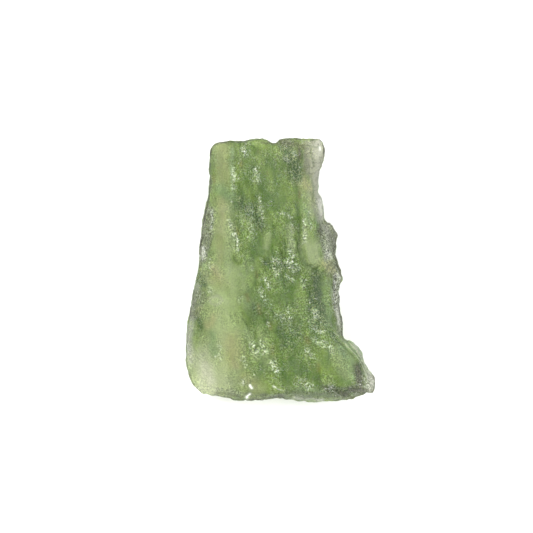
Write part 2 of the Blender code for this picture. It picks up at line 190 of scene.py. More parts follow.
GREY_STROKES = [
    ([(4.5, 4.4), (4.9, 3.0), (4.8, 1.3)], 0.32, 0.8),
    ([(3.9, 7.3), (4.1, 6.2), (4.1, 5.2)], 0.42, 0.9),
    ([(5.75, -3.8), (5.95, -6.2)], 0.26, 0.7),
    ([(2.6, 7.6), (3.2, 6.0)], 0.50, 0.3),
    ([(-7.85, 2.2), (-7.85, 1.2)], 0.25, 0.9),
    ([(-9.1, -4.9), (-9.25, -6.8), (-9.1, -9.0)], 0.36, 0.9),
    ([(-8.4, -1.6), (-8.9, -3.4), (-9.1, -4.6)], 0.25, 0.6),
    ([(1.4, -12.8), (2.8, -12.9), (4.2, -12.95)], 0.16, 0.9),
    ([(8.8, -10.2), (9.1, -11.0), (9.0, -12.0)], 0.45, 0.8),
    ([(7.3, -7.5), (8.0, -8.4), (8.6, -9.8)], 0.14, 0.7),
    ([(3.6, 12.6), (3.8, 10.0), (3.6, 8.2)], 0.60, 0.5),
]
LIGHT_STROKES = [
    ([(2.6, 2.6), (3.2, 0.9)], 0.75, 0.85),
    ([(2.3, 4.6), (2.4, 2.8)], 0.45, 0.6),
    ([(1.0, 4.0), (1.2, 2.2)], 0.50, 0.6),
    ([(-5.4, 3.6), (-5.9, 1.2)], 0.70, 0.6),
    ([(-4.9, -0.4), (-3.9, -1.5)], 0.90, 0.6),
    ([(-6.9, -2.9), (-6.3, -3.1)], 0.60, 1.0),
    ([(-6.0, -3.8), (-5.2, -6.4)], 1.00, 0.6),
    ([(-4.6, -4.6), (-3.2, -6.8), (-2.5, -8.8)], 0.55, 0.45),
    ([(-6.2, -9.0), (-5.6, -11.2)], 0.90, 0.6),
    ([(5.6, -8.2), (6.4, -10.2)], 0.70, 0.4),
    ([(-1.3, 3.6), (-1.4, 2.4)], 0.30, 0.6),
    ([(-2.2, -6.0), (-1.4, -9.2)], 0.60, 0.4),
    ([(-5.8, 5.6), (-5.7, 3.0), (-5.6, 0.4)], 1.20, 0.7),
    ([(-5.6, -0.6), (-5.8, -4.0), (-5.6, -8.0), (-6.4, -11.4)], 2.10, 0.9),
    ([(2.9, 0.75), (3.3, 0.45), (3.75, 0.6)], 0.22, 0.8),
    ([(3.4, 2.4), (3.7, 1.0)], 0.45, 0.9),
]
WASHED_STROKES = [
    ([(-6.2, 8.2), (-5.4, 7.4)], 0.60, 0.9),
    ([(-4.9, 12.0), (-4.85, 7.5)], 0.22, 0.7),
    ([(-6.8, -6.4), (-6.7, -8.2)], 0.40, 0.9),
    ([(2.4, 6.2), (2.9, 4.8)], 0.45, 0.9),
    ([(3.2, 6.0), (3.3, 5.0)], 0.30, 0.6),
    ([(4.5, -1.4), (4.6, -3.4), (4.8, -5.4)], 0.38, 0.5),
    ([(6.8, -7.2), (7.9, -8.5), (8.6, -9.8)], 0.55, 1.1),
    ([(6.0, -7.6), (6.8, -9.0), (7.2, -10.8)], 0.50, 0.7),
    ([(-7.6, 0.6), (-7.3, -0.4)], 0.30, 0.6),
    ([(1.6, -12.1), (4.2, -12.3)], 0.35, 0.6),
]
DEEP_STROKES = [
    ([(0.5, 12.2), (1.3, 11.0), (1.6, 9.6)], 0.85, 1.4),
    ([(-5.9, 12.4), (-5.8, 8.0)], 0.90, 0.3),
    ([(7.2, -7.4), (8.1, -8.6), (8.7, -9.6)], 0.30, 0.7),
    ([(7.8, -10.4), (7.9, -12.2)], 0.50, 1.0),
    ([(-4.0, 6.6), (-2.6, 5.8), (-2.2, 4.6)], 0.85, 1.0),
    ([(-1.6, 0.7), (-0.4, 0.4)], 0.45, 0.9),
    ([(-0.4, 0.6), (0.9, 0.6), (1.6, -0.3)], 0.60, 0.8),
    ([(-8.3, -0.8), (-7.9, -1.3)], 0.65, 1.1),
    ([(-8.3, -4.9), (-8.1, -5.7)], 0.55, 1.0),
    ([(3.3, -2.8), (3.6, -5.6)], 0.55, 1.0),
    ([(3.6, -0.6), (3.8, -3.2), (4.0, -5.2)], 0.85, 1.1),
    ([(1.9, 0.7), (2.6, 0.1), (3.3, -0.2)], 0.30, 0.4),
    ([(4.4, -6.0), (5.8, -7.2), (6.6, -8.6)], 0.40, 0.8),
    ([(4.8, -12.1), (7.2, -12.2)], 0.50, 1.2),
    ([(-2.7, -3.6), (-2.4, -4.4)], 0.40, 0.7),
    ([(0.5, -4.6), (1.9, -6.6), (3.2, -7.6)], 1.00, 0.5),
    ([(-0.1, -4.6), (0.2, -7.6)], 0.60, 0.6),
    ([(2.2, -11.9), (4.6, -11.9)], 0.35, 0.5),
]
BROWN_STROKES = [
    ([(7.7, -9.6), (8.0, -11.8)], 0.50, 1.2),
    ([(-5.6, -11.4), (-3.4, -11.8)], 0.80, 0.22),
    ([(6.9, -12.0), (8.3, -12.1)], 0.42, 1.1),
    ([(4.4, -11.9), (6.6, -12.5)], 0.42, 1.0),
    ([(5.2, 3.8), (5.3, 2.5)], 0.45, 0.6),
    ([(3.9, 3.9), (4.0, 2.9)], 0.35, 0.7),
    ([(4.4, -0.2), (5.2, 0.8)], 0.10, 0.8),
    ([(4.7, -0.6), (5.5, 0.5)], 0.10, 0.8),
    ([(5.1, -0.8), (5.7, 0.1)], 0.10, 0.7),
    ([(-8.3, -2.2), (-7.2, -2.1), (-6.5, -2.25), (-6.0, -2.8)], 0.14, 0.35),
    ([(-7.3, -2.9), (-7.1, -2.5), (-6.5, -2.5)], 0.10, 0.35),
    ([(-6.4, -12.3), (-5.2, -12.55), (-3.9, -12.75)], 0.20, 0.8),
    ([(-3.6, -12.2), (-1.4, -12.4)], 0.30, 0.4),
    ([(-0.9, -12.15), (0.1, -12.5)], 0.25, 0.6),
    ([(0.3, -12.3), (4.4, -12.4)], 0.22, 0.6),
    ([(0.1, 12.9), (1.2, 12.6), (2.3, 12.4)], 0.45, 1.0),
    ([(1.9, 12.2), (1.95, 11.2)], 0.28, 1.2),
    ([(2.4, 11.9), (2.6, 10.6), (2.4, 9.9)], 0.22, 0.7),
    ([(5.4, -2.6), (5.5, -4.6), (5.9, -6.4)], 0.14, 0.9),
    ([(-1.9, 12.75), (-0.2, 12.7)], 0.14, 0.9),
    ([(-7.9, 6.0), (-8.1, 4.4)], 0.30, 0.5),
    ([(-8.4, -2.4), (-8.7, -4.4)], 0.50, 0.4),
    ([(5.5, -0.6), (5.3, -3.4)], 0.30, 1.0),
]
RUST_STROKES = [
    ([(-4.0, 10.8), (-4.0, 10.4)], 0.20, 1.0),
    ([(-4.4, 4.0), (-4.35, 3.6)], 0.20, 1.0),
    ([(-2.4, -0.2), (-2.35, -0.7)], 0.18, 1.0),
    ([(-3.4, -2.5), (-3.3, -3.0)], 0.20, 0.9),
    ([(-2.2, -3.5), (-2.1, -4.3)], 0.22, 0.9),
    ([(-1.1, -5.4), (-1.0, -5.9)], 0.20, 0.9),
    ([(2.6, -6.8), (2.7, -7.3)], 0.25, 1.0),
    ([(3.7, -9.5), (3.8, -10.0)], 0.25, 0.8),
    ([(1.9, 7.8), (1.9, 7.3)], 0.18, 0.8),
    ([(-0.9, -7.7), (-0.8, -8.3)], 0.25, 0.8),
    ([(-6.8, 9.3), (-6.7, 8.8)], 0.22, 0.6),
]
# Fleck zones, busy with pits, where most painted glints gather: (points, half width, strength)
FLECK_AND_GLINT_STROKES = [
    ([(-4.75, 10.2), (-4.7, 8.2)], 0.24, 1.0),
    ([(-3.8, 12.1), (-3.5, 11.5)], 0.30, 1.0),
    ([(-2.5, 10.0), (-2.3, 9.0)], 0.30, 0.9),
    ([(-2.2, 7.4), (-2.1, 6.8)], 0.25, 0.8),
    ([(0.4, 11.3), (0.7, 10.9), (0.8, 11.4), (0.4, 11.3)], 0.16, 0.8),
    ([(1.3, 11.8), (1.5, 11.4)], 0.18, 0.7),
    ([(-5.2, 4.9), (-4.95, 4.2)], 0.20, 1.0),
    ([(-4.7, 3.6), (-4.3, 2.8), (-4.4, 2.2)], 0.30, 1.0),
    ([(-4.3, 1.9), (-4.1, 1.3)], 0.14, 0.6),
    ([(-4.2, 5.6), (-3.8, 4.4)], 0.36, 0.5),
    ([(-3.2, 6.2), (-3.0, 4.8), (-2.9, 3.4)], 0.32, 0.6),
    ([(-2.0, 6.4), (-1.8, 5.2)], 0.28, 0.6),
    ([(-7.0, 5.9), (-7.0, 4.0)], 0.26, 0.9),
    ([(-7.9, 2.2), (-7.7, 1.3)], 0.24, 1.0),
    ([(-7.3, 0.7), (-7.1, 0.2)], 0.16, 0.8),
    ([(0.0, 5.7), (0.6, 5.5), (1.1, 5.3)], 0.22, 0.9),
    ([(1.2, 4.6), (1.3, 4.1)], 0.25, 1.0),
    ([(2.3, 4.9), (2.4, 2.9)], 0.25, 0.9),
    ([(2.9, 5.8), (3.1, 4.2)], 0.20, 0.7),
    ([(0.9, 1.9), (1.1, 1.4)], 0.30, 1.0),
    ([(-0.6, 0.9), (0.6, 0.7), (1.4, 0.3)], 0.40, 0.9),
    ([(-0.7, 0.1), (-0.4, -0.2), (-0.1, 0.0), (-0.3, -0.5)], 0.22, 1.0),
    ([(0.7, -0.7), (1.2, -1.1)], 0.20, 1.0),
    ([(2.1, -0.8), (2.3, -1.7)], 0.20, 0.9),
    ([(-1.9, 0.8), (-2.0, 1.1)], 0.12, 1.0),
    ([(-3.0, 0.3), (-2.9, 0.1)], 0.14, 1.0),
    ([(-1.6, -1.0), (-1.1, -1.8)], 0.25, 0.9),
    ([(-2.0, -2.0), (-1.6, -2.9)], 0.30, 1.0),
    ([(-4.3, -2.8), (-4.0, -2.7), (-4.1, -3.1), (-4.3, -2.8)], 0.14, 1.0),
    ([(-7.2, -1.9), (-6.9, -2.1)], 0.22, 0.8),
    ([(3.2, -4.0), (3.6, -4.4), (3.4, -4.9)], 0.24, 0.5),
    ([(3.2, -5.9), (4.0, -6.2)], 0.28, 0.7),
    ([(0.8, -4.0), (1.0, -4.8)], 0.25, 0.7),
    ([(-1.3, -5.2), (-1.2, -5.6)], 0.16, 0.9),
    ([(-0.3, -4.4), (0.3, -5.2)], 0.40, 0.6),
    ([(-6.2, -7.3), (-6.1, -7.8)], 0.22, 1.0),
    ([(-6.3, -8.4), (-5.9, -8.8)], 0.24, 1.0),
    ([(-3.7, -8.9), (-3.6, -9.6)], 0.20, 0.8),
    ([(-3.9, -11.0), (-3.6, -11.3), (-3.9, -11.4)], 0.18, 0.8),
    ([(-2.9, -7.4), (-2.4, -8.4)], 0.35, 0.7),
    ([(-1.9, -7.2), (-1.6, -8.2)], 0.30, 0.8),
    ([(-0.8, -9.3), (-0.4, -10.2)], 0.32, 1.0),
    ([(2.6, -8.0), (3.2, -8.6)], 0.35, 0.8),
    ([(4.9, -7.7), (5.1, -8.2)], 0.22, 0.8),
    ([(3.4, -7.0), (4.6, -7.6)], 0.35, 0.5),
    ([(1.8, -11.2), (2.8, -11.7)], 0.40, 0.9),
    ([(4.4, -11.9), (5.2, -11.7)], 0.25, 0.9),
    ([(5.7, -0.4), (5.6, -2.2), (5.6, -3.8)], 0.42, 1.0),
    ([(4.2, 3.2), (4.7, 1.4)], 0.40, 0.5),
    ([(8.5, -10.9), (8.8, -11.9)], 0.40, 0.9),
]
# White chipped spots on the face and rim, and a few spots of painted glint: (points, half width,
# strength)
CHIP_AND_GLINT_STROKES = [
    ([(4.0, 7.1), (4.1, 6.2), (4.1, 5.6)], 0.20, 0.35),
    ([(-3.1, -11.6), (-2.9, -11.85)], 0.13, 1.0),
    ([(-3.45, -12.8), (-3.15, -12.45)], 0.16, 1.0),
    ([(-0.85, -11.6), (-0.6, -11.75)], 0.07, 0.9),
    ([(-0.5, -11.85), (0.1, -12.1)], 0.05, 0.4),
    ([(5.65, -4.3), (5.85, -5.4)], 0.14, 0.4),
    ([(0.4, -12.8), (2.4, -13.0), (5.4, -12.95)], 0.10, 0.4),
    ([(-7.95, 2.2), (-7.8, 1.4)], 0.14, 0.4),
    ([(-9.35, -7.4), (-9.35, -7.9)], 0.10, 0.4),
    ([(3.9, 12.3), (3.9, 12.0)], 0.10, 0.9),
]

# Parts of the outline that get a thin dark line of painted shade, seen from above: (points, half
# width, strength)
RIM_SHADE_STROKES = [
    ([(-7.4, 12.4), (-5.0, 12.9), (-1.0, 12.7), (3.0, 13.1)], 0.60, 0.65),
    ([(-7.2, 12.0), (-7.4, 7.0), (-8.4, 2.0), (-8.5, -0.6)], 0.70, 0.9),
    ([(-8.8, -2.5), (-9.6, -6.5), (-9.6, -9.5), (-8.4, -11.6)], 0.70, 0.65),
    ([(-6.4, -12.5), (-3.0, -13.0), (0.2, -12.9)], 0.50, 0.8),
    ([(4.5, 12.0), (4.3, 9.0), (4.6, 6.0), (5.9, 3.7), (5.9, 1.0), (6.5, -1.0), (6.1, -3.0),
      (6.3, -6.5)], 0.70, 0.9),
    ([(9.5, -10.6), (9.6, -12.2), (7.0, -13.0), (5.8, -13.1)], 0.50, 0.8),
]

# Smooth, calm places: (points, half width, strength)
CALM_STROKES = [
    ([(-6.0, 12.0), (-5.9, 7.0)], 0.9, 0.9),
    ([(-5.9, 6.0), (-5.9, 1.0)], 0.7, 0.9),
    ([(-7.6, -9.0), (-6.6, -11.2)], 1.6, 0.9),
    ([(-5.4, -1.0), (-5.8, -7.0)], 1.6, 0.8),
    ([(-4.8, -7.0), (-4.7, -9.0)], 0.8, 0.9),
    ([(-7.0, -5.5), (-6.4, -9.0)], 1.2, 0.8),
    ([(-5.4, -9.0), (-4.6, -11.2)], 1.2, 0.7),
    ([(2.8, 2.6), (3.2, 1.0)], 0.6, 0.9),
    ([(4.0, -0.6), (4.1, -2.4)], 0.6, 0.8),
    ([(7.4, -8.4), (9.0, -11.4)], 0.9, 0.6),
    ([(3.6, 12.0), (3.4, 7.6)], 0.7, 0.5),
    ([(-2.6, 3.6), (-1.6, 1.6)], 0.8, 0.5),
    ([(-1.6, 9.4), (-0.4, 7.4)], 1.0, 0.4),
]


def srgb(red, green, blue):
    """A colour as seen on screen, 0 to 255, as Blender's linear colour."""
    screen = np.array((red, green, blue)) / 255.0
    linear = np.where(screen <= 0.04045, screen / 12.92, ((screen + 0.055) / 1.055) ** 2.4)
    return (*linear.tolist(), 1.0)


MID_GREEN = srgb(86, 122, 22)
SOFT_GREEN = srgb(148, 176, 70)
DEEP_GREEN = srgb(50, 80, 26)
TAN_GREEN = srgb(214, 202, 152)
PALE_GREEN = srgb(255, 248, 234)
LIGHT_GREEN = srgb(234, 242, 188)
WASHED_GREEN = srgb(148, 176, 130)
RIM_GREY = srgb(168, 162, 150)
ROUGH_GREY = srgb(146, 142, 130)
GREY_LILAC = srgb(214, 206, 214)
BROWN_GREEN = srgb(46, 40, 22)
RUST_TINT = srgb(158, 112, 56)
DUST_YELLOW = srgb(236, 242, 164)
# Painted glints, and the white of chipped spots
GLINT_AND_CHIP_WHITE = srgb(255, 255, 252)
# Painted shade in the creases, and the colour of the dark scores
CREASE_SHADE_AND_SCORE_GREEN = srgb(32, 54, 18)
# Painted shade along the outline; the cracks take this dark colour too
RIM_SHADE_AND_CRACK_BROWN = srgb(44, 40, 30)
UNDER_GREEN = srgb(228, 234, 202)


def smooth_step(t):
    t = np.clip(t, 0.0, 1.0)
    return t * t * (3.0 - 2.0 * t)


def line_distance(points, line, closed=False):
    """Distance of each point of the plan to a line through its corners."""
    corners = np.array(line + line[:1] if closed else line, float)
    start, step = corners[:-1], np.diff(corners, axis=0)
    nearest = np.full(len(points), np.inf)
    for origin, run in zip(start, step):
        offset = points - origin
        along = np.clip(offset @ run / (run @ run), 0.0, 1.0)
        nearest = np.minimum(nearest, np.hypot(*(offset - along[:, None] * run).T))
    return nearest


def inside_loop(points, loop):
    inside = np.zeros(len(points), bool)
    for (x0, y0), (x1, y1) in zip(loop, loop[1:] + loop[:1]):
        if y0 == y1:
            continue
        spans = (y0 > points[:, 1]) != (y1 > points[:, 1])
        meets = x0 + (points[:, 1] - y0) / (y1 - y0) * (x1 - x0)
        inside ^= spans & (points[:, 0] < meets)
    return inside


def stroke_mask(flat, strokes):
    """How strongly each point is covered by soft-edged strokes."""
    mask = np.zeros(len(flat))
    for line, half_width, strength in strokes:
        gap = line_distance(flat, line)
        mask = np.maximum(mask, strength * np.exp(-((gap / half_width) ** 2)))
    return mask


def line_cone(flat, lines):
    """1 on each line, falling evenly to 0 at some half widths from it."""
    cone = np.zeros(len(flat))
    for line, _, half_width in lines:
        cone = np.maximum(cone, 1.0 - line_distance(flat, line) / (CONE_SPAN * half_width))
    return cone


def loop_mask(flat, loops, softness):
    """A loop's strength well inside it and 0 well outside, over a border of this width."""
    mask = np.zeros(len(flat))
    for loop, strength in loops:
        gap = line_distance(flat, loop, closed=True)
        signed = np.where(inside_loop(flat, loop), gap, -gap)
        mask = np.maximum(mask, strength * smooth_step(0.5 + signed / softness))
    return mask


def rumple(points, size, shift=0.0):
    """Smooth noise of about -1 to 1 at each point, with waves of this size (one or three)."""
    scaled = points / np.array(size) + shift
    return np.array([noise.noise(Vector(p)) for p in scaled.tolist()])


def scoops(points, size, shift=0.0):
    """1 in the middle of rounded cells of this size, 0 at their borders."""
    scaled = points / np.array(size) + shift
    nearest = np.array([noise.voronoi(Vector(p))[0][0] for p in scaled.tolist()])
    return np.clip(1.0 - (nearest / PIT_REACH) ** 2, 0.0, 1.0)


def sway(points, broad_size, broad_shift, fine_size, fine_shift):
    """How far noise moves each point one way, in broad waves and in fine ones."""
    broad = BROAD_SWAY * rumple(points, broad_size, broad_shift)
    return broad + FINE_SWAY * rumple(points, fine_size, fine_shift)


def lean(upright, start, span):
    """0 for faces that look up less than the start, 1 for those past it by the span."""
    return smooth_step((upright - start) / span)


def across_fan(x, y, unit):
    """X measured across the fan, so that noise runs along the flow. For arrays and sockets."""
    share = 0.5 - y / (LENGTH * unit)
    widening = (FAN_BOTTOM_HALF_WIDTH - FAN_TOP_HALF_WIDTH) * unit
    half = share * widening + FAN_TOP_HALF_WIDTH * unit
    drift = (FAN_MIDDLE_BOTTOM - FAN_MIDDLE_TOP) * unit
    middle = share * drift + FAN_MIDDLE_TOP * unit
    return (x - middle) / half * (FAN_TOP_HALF_WIDTH * unit)


def realised(source):
    """A new mesh object of the source as its modifiers shape it. The source is removed."""
    bpy.context.view_layer.update()
    graph = bpy.context.evaluated_depsgraph_get()
    mesh = bpy.data.meshes.new_from_object(source.evaluated_get(graph))
    name = source.name
    bpy.data.objects.remove(source, do_unlink=True)
    made = bpy.data.objects.new(name, mesh)
    bpy.context.scene.collection.objects.link(made)
    return made


def fine_copy(node, name):
    """The solid's surface in small even faces, free of its facets."""
    mesh = node.data.copy()
    work = bmesh.new()
    work.from_mesh(mesh)
    bmesh.ops.remove_doubles(work, verts=work.verts, dist=WELD * MM)
    work.to_mesh(mesh)
    work.free()
    copy = bpy.data.objects.new(name, mesh)
    bpy.context.scene.collection.objects.link(copy)
    remesh = copy.modifiers.new("small even faces", "REMESH")
    remesh.mode = "VOXEL"
    remesh.voxel_size = FINE_VOXEL * MM
    smooth = copy.modifiers.new("no facets", "SMOOTH")
    smooth.factor = SMOOTHING
    smooth.iterations = SMOOTHING_PASSES
    return realised(copy)


def vertex_vectors(mesh, normals=False):
    flat = np.empty(len(mesh.vertices) * 3, np.float32)
    if normals:
        mesh.vertex_normals.foreach_get("vector", flat)
    else:
        mesh.vertices.foreach_get("co", flat)
    return flat.reshape(-1, 3).astype(float)


def as_seen(points):
    """Where the camera sees each point, measured on the plane of the rim."""
    middle = np.array(VIEW_MIDDLE)
    nearer = (CAMERA_HEIGHT - RIM_HEIGHT) / (CAMERA_HEIGHT - points[:, 2])
    return middle + (points[:, :2] - middle) * nearer[:, None]


def rim_distance(points, normals):
    """Distance of each point to the stone's outline, both seen from above."""
    rim = points[np.abs(normals[:, 2]) < RIM_SLOPE]
    outline = kdtree.KDTree(len(rim))
    for index, (x, y) in enumerate(rim[:, :2].tolist()):
        outline.insert((x, y, 0.0), index)
    outline.balance()
    return np.array([outline.find((x, y, 0.0))[2] for x, y in points[:, :2].tolist()])


def paint_masks(mesh, points, rim_gap, upright):
    """Keeps on the mesh, as named attributes, where each colour and finish lies."""
    upward = lean(upright, *LOOKS_UP)
    beside = 1.0 - lean(upright, *OFF_THE_WALL)
    steep = 1.0 - lean(upright, *NOT_STEEP)
    slide = np.column_stack([rumple(points, SIDE_SLIDE_SIZE, shift) for shift in (31.1, 47.9)])
    seen = as_seen(points) + SIDE_SLIDE * beside[:, None] * slide
    moved = np.column_stack((sway(points, 1.1, 3.7, 0.4, 9.1), sway(points, 1.3, 21.3, 0.45, 5.9)))
    flat = seen + moved
    near = seen + (CRISP_SWAY + STEEP_SWAY * steep)[:, None] * moved
    off_sides = 1.0 - SIDE_FADE * beside
    # The painted shade along the outline comes and goes in patches
    patches = RIM_DARK + RIM_DARK_SWING * rumple(points, RIM_PATCH_SIZE, 17.3)
    patchy = np.clip(patches, RIM_DARK_LEAST, 1.0)
    masks = {
        "under": lean(-upright, *LOOKS_DOWN),
        "clear": loop_mask(near, CLEAR_LOOPS, CLEAR_BORDER),
        "rough": loop_mask(near, ROUGH_LOOPS, ROUGH_BORDER),
        "tan": stroke_mask(flat, TAN_STROKES),
        "pale": stroke_mask(flat, PALE_STROKES),
        "grey": off_sides * stroke_mask(near, GREY_STROKES),
        "light": stroke_mask(flat, LIGHT_STROKES),
        "washed": stroke_mask(flat, WASHED_STROKES),
        "deep": stroke_mask(flat, DEEP_STROKES),
        "brown": stroke_mask(near, BROWN_STROKES),
        "rust": stroke_mask(near, RUST_STROKES),
        # fleck zones, busy with pits, where painted glints gather
        "flecks": off_sides * stroke_mask(near, FLECK_AND_GLINT_STROKES),
        # white chipped spots, and spots of painted glint
        "chips": upward * stroke_mask(near, CHIP_AND_GLINT_STROKES),
        "calm": stroke_mask(flat, CALM_STROKES),
        # where the creases get painted shade
        "crease": upward * line_cone(near, CREASES),
        "ledge": upward * line_cone(near, LEDGE_LINES),
        "edge": 1.0 - rim_gap / RIM_REACH,
        # where the outline gets its dark line of painted shade
        "rim": patchy * lean(upright, *ABOVE_THE_BACK) * stroke_mask(near, RIM_SHADE_STROKES),
    }
    for name, values in masks.items():
        layer = mesh.attributes.new(name, "FLOAT", "POINT")
        layer.data.foreach_set("value", values.astype(np.float32))
    return masks


def carve(points, masks, upward):
    """Depth or height of the fine relief at each point, along its normal."""
    x, y, z = points.T
    flow = np.column_stack((across_fan(x, y, 1.0), y, z))
    wrinkle = WRINKLE_HEIGHT * rumple(flow, WRINKLE_SIZE)
    fold = 1.0 - np.abs(rumple(flow, FOLD_SIZE, 4.4)) * FOLD_SHARPNESS
    pits = PIT_DEPTH * scoops(flow, PIT_SIZE, 2.2)
    lively = 1.0 - CALM_RELIEF * masks["calm"]
    relief = lively * (wrinkle - FOLD_DEPTH * np.clip(fold, 0.0, 1.0) ** 2 - pits)
    dimple = ROUGH_DIMPLE_DEPTH * masks["flecks"] + ROUGH_DIMPLE_DEPTH * masks["rough"]
    relief -= (DIMPLE_DEPTH + dimple) * lively * scoops(points, DIMPLE_SIZE, 7.7)
    seen = as_seen(points)
    for lines, sign in ((CREASES, -1.0), (LEDGE_LINES, 1.0)):
        for line, height, half_width in lines:
            gap = line_distance(seen, line)
            relief += sign * upward * height * np.exp(-((gap / half_width) ** 2))
    return relief


def dress_stone(node):
    """The stone as seen: the solid with its fine wrinkles, pits, creases and ledge lines."""
    stone = fine_copy(node, "moldavite_stone")
    mesh = stone.data
    points = vertex_vectors(mesh) / MM
    normals = vertex_vectors(mesh, normals=True)
    rim_gap = rim_distance(points, normals)
    upright = normals[:, 2]
    masks = paint_masks(mesh, points, rim_gap, upright)
    relief = carve(points, masks, lean(upright, *LOOKS_UP))
    jags = RIM_GROWTH + RIM_JAGS * rumple(points, RIM_JAG_SIZE, 8.8)
    relief += np.exp(-rim_gap / RIM_GROWTH_REACH) * jags
    points += normals * relief[:, None]
    points[:, 2] = np.maximum(points[:, 2], 0.0)
    mesh.vertices.foreach_set("co", (points * MM).astype(np.float32).ravel())
    mesh.update()
    mesh.shade_smooth()
    return stone


# The full part of a dot, as a share of its radius, and how softly dots come in with the crowd
DOT_CORE = 0.45
DOT_FADE = 0.06


class Wire:
    """A socket in a material's nodes. Arithmetic on it adds Math nodes."""

    def __init__(self, tree, socket=None):
        self.tree = tree
        self.socket = socket

    def add(self, kind, settings=None, inputs=None, output=0):
        """A new node: its settings first, then values or links for its sockets."""
        node = self.tree.nodes.new(kind)
        for name, value in (settings or {}).items():
            setattr(node, name, value)
        for name, value in (inputs or {}).items():
            if isinstance(value, Wire):
                self.tree.links.new(value.socket, node.inputs[name])
            else:
                node.inputs[name].default_value = value
        return Wire(self.tree, node.outputs[output] if node.outputs else None)

    def other(self, output):
        """Another output of the same node."""
        return Wire(self.tree, self.socket.node.outputs[output])

    def math(self, operation, *values):
        return self.add("ShaderNodeMath", {"operation": operation}, dict(enumerate(values)))

    def __add__(self, other):
        return self.math("ADD", self, other)

    def __radd__(self, other):
        return self.math("ADD", other, self)

    def __sub__(self, other):
        return self.math("SUBTRACT", self, other)

    def __rsub__(self, other):
        return self.math("SUBTRACT", other, self)

    def __mul__(self, other):
        return self.math("MULTIPLY", self, other)

    def __rmul__(self, other):
        return self.math("MULTIPLY", other, self)

    def __truediv__(self, other):
        return self.math("DIVIDE", self, other)

    def rise(self, low, high):
        """0 below low, 1 above high, and smooth between them."""
        return self.add(
            "ShaderNodeMapRange",
            {"interpolation_type": "SMOOTHSTEP"},
            {"Value": self, "From Min": low, "From Max": high},
        )

    def contours(self, width):
        """1 on thin lines where the value passes each whole number."""
        return 1.0 - self.math("PINGPONG", self, 0.5).rise(0.0, width)

    def mask(self, name):
        """A mask kept on the mesh."""
        return self.add("ShaderNodeAttribute", {"attribute_name": name}, output="Fac")

    def in_units(self, place, size, shift=0.0):
        """The place counted in this size in millimetres, the same or three sizes."""
        sizes = size if isinstance(size, tuple) else (size,) * 3
        return self.add(
            "ShaderNodeVectorMath",
            {"operation": "MULTIPLY_ADD"},
            {0: place, 1: tuple(1.0 / (s * MM) for s in sizes), 2: (shift,) * 3},
        )

    def grain(self, place, size, detail=2.0, roughness=0.5, shift=0.0):
        """Noise of 0 to 1 with waves of this size."""
        return self.add(
            "ShaderNodeTexNoise",
            None,
            {"Vector": self.in_units(place, size, shift), "Scale": 1.0, "Detail": detail,
             "Roughness": roughness},
        )

    def dots(self, place, size, crowd, radius, shift=0.0):
        """Soft round dots in cells of this size, and one random number for each cell.

        Crowd says how large a share of the cells has a dot."""
        gap = self.add(
            "ShaderNodeTexVoronoi",
            None,
            {"Vector": self.in_units(place, size, shift), "Scale": 1.0},
            output="Distance",
        )
        chance = self.add("ShaderNodeSeparateXYZ", None, {0: gap.other("Color")})
        shape = 1.0 - gap.rise(DOT_CORE * radius, radius)
        return shape * (crowd - chance).rise(0.0, DOT_FADE), chance.other(1)

    def cell_borders(self, place, size):
        """Distance to the borders of cells of this size."""
        return self.add(
            "ShaderNodeTexVoronoi",
            {"feature": "DISTANCE_TO_EDGE"},
            {"Vector": self.in_units(place, size), "Scale": 1.0},
            output="Distance",
        )

    def blend(self, share, first, second):
        """The first colour, turning to the second as share goes from 0 to 1."""
        return self.add(
            "ShaderNodeMix", {"data_type": "RGBA"}, {0: share, 6: first, 7: second}, output=2
        )

    def layers(self, base, coats):
        """The base colour under these coats, from the lowest up: (share, colour)."""
        for share, colour in coats:
            base = self.blend(share, base, colour)
        return base


MASKS = ["under", "clear", "rough", "tan", "pale", "grey", "light", "washed", "deep", "brown",
         "rust", "flecks", "chips", "calm", "crease", "ledge", "edge", "rim"]

# Sizes of the grain in the glass in millimetres: across the flow, along it and in depth
STREAK_SIZE = (0.90, 2.8, 1.1)
MOTTLE_SIZE = (0.30, 0.70, 0.4)
FINE_SIZE = (0.11, 0.16, 0.11)
GRIT_SIZE = (0.085, 0.12, 0.085)
RESTLESS_SIZE = (1.1, 2.0, 1.2)
THREAD_SIZE = (0.42, 0.85, 0.5)
SCORE_SIZE = (0.36, 1.3, 0.5)
HOLLOW_SIZE = (0.16, 0.23, 0.16)
# Cells of the painted glints: dots and curls
GLINT_DOT_SIZE = (0.15, 0.20, 0.15)
CURL_SIZE = (0.27, 0.40, 0.27)
SCATTER_SIZE = 0.9
CRACK_SIZE = 1.1
BEND_SIZE = 0.12
BEND_REACH = 0.3

# Clear moldavite, with its absorption per metre, and the fine bumps of its skin in millimetres
GLASS_IOR = 1.49
GLASS_TRANSMISSION = 0.8
CLEAR_COLOUR = (0.60, 0.78, 0.34, 1.0)
ABSORPTION = 200.0
BUMP_STRENGTH = 0.9
BUMP_HEIGHT = 0.06


